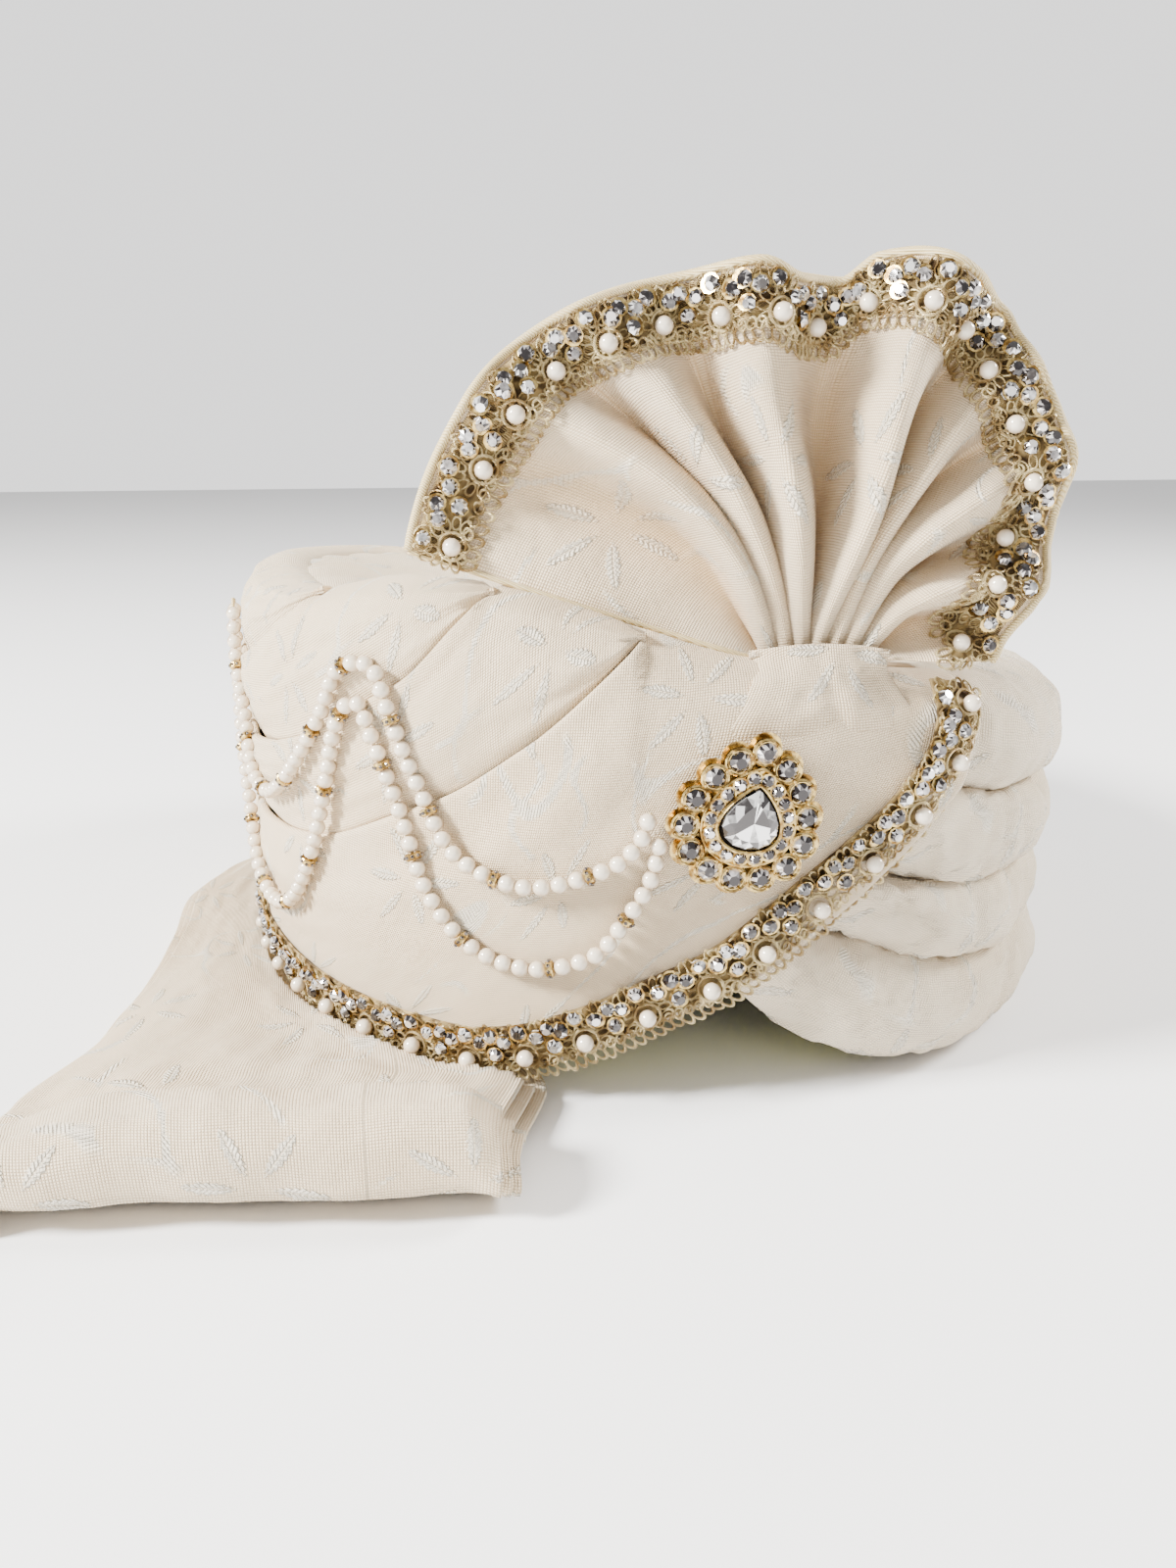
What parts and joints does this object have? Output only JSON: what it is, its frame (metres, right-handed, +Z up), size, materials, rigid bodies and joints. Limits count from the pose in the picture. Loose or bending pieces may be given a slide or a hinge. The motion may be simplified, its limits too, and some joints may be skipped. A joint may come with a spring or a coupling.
{
  "type": "tied turban",
  "caption": "Groom's tied turban of pleated and rolled floral jacquard cloth, with a standing fan, gold lace edging, pear brooch, pearl strings and a folded tail.",
  "frame": {"origin": "on the ground, under the middle of the whole outline seen from above, tail included", "axes": "+Z up, -Y the way the forehead looks, +X towards the wearer's left, where the rolls are"},
  "size_m": [0.298, 0.3098, 0.1945],
  "materials": {
    "cloth": "matte ivory rib weave with raised floral jacquard",
    "lining": "matte olive",
    "gold_lace": "antique gold braid with stones and pearls",
    "jewellery": "gold setting with clear cut stones",
    "pearls": "ivory pearl lustre"
  },
  "bodies": {
    "root": {"crown_liner": "lining", "crown_cap": "cloth", "panel_1": "cloth", "panel_2": "cloth", "panel_3": "cloth", "panel_4": "cloth", "roll_1": "cloth", "roll_2": "cloth", "roll_3": "cloth", "roll_4": "cloth", "fan": "cloth", "fan_trim": "gold_lace", "fan_base_wrap": "cloth", "brim_trim": "gold_lace", "brooch": "jewellery", "pearl_strand_upper": "pearls", "pearl_strand_lower": "pearls", "tail": "cloth"}
  },
  "joints": []
}
